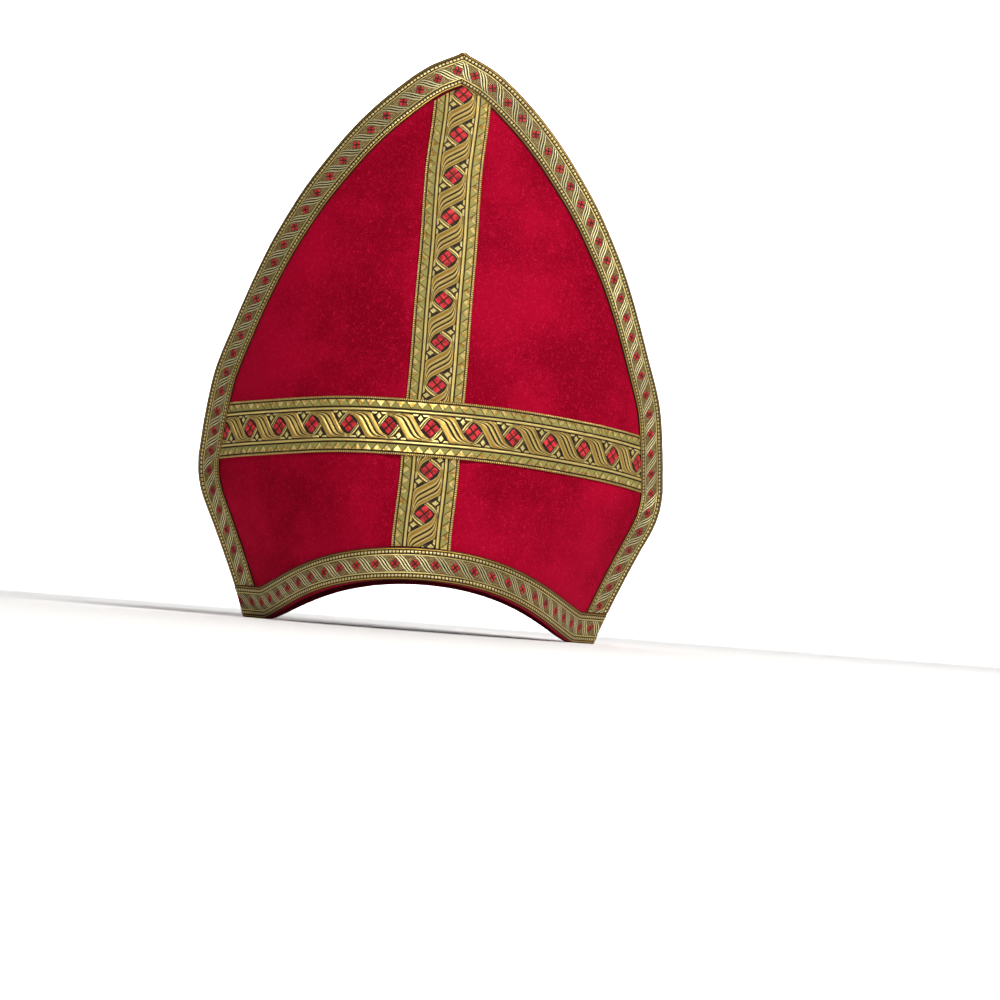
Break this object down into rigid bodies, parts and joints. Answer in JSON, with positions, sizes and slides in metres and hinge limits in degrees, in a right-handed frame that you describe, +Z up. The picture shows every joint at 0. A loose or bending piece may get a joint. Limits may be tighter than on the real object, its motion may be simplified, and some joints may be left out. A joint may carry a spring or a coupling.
{
  "type": "bishop mitre",
  "caption": "Bishop's mitre: stiff pointed shields of crimson velvet joined at the sides, a folded cloth crown between the horns, and gold braid as an upright cross and along every edge.",
  "frame": {"origin": "on the ground midway between the two side seams, with the mitre standing on its rim", "axes": "+Z up towards the two tips, -Y out of the front face, +X to the wearer's left"},
  "size_m": [0.3042, 0.195, 0.365],
  "materials": {
    "velvet": "soft crimson velvet pile",
    "crown_cloth": "plain crimson cloth",
    "wide_braid": "woven metallic gold thread with red diamonds and green triangles",
    "narrow_braid": "woven metallic gold thread with small red diamonds"
  },
  "bodies": {
    "root": {"panel_front": "velvet", "panel_back": "velvet", "crown_fold": "crown_cloth", "pillar_braid_front": "wide_braid", "pillar_braid_back": "wide_braid", "cross_braid_front": "wide_braid", "cross_braid_back": "wide_braid", "edge_braid_left_front": "narrow_braid", "edge_braid_right_front": "narrow_braid", "edge_braid_left_back": "narrow_braid", "edge_braid_right_back": "narrow_braid", "rim_braid_front": "narrow_braid", "rim_braid_back": "narrow_braid"}
  },
  "joints": []
}
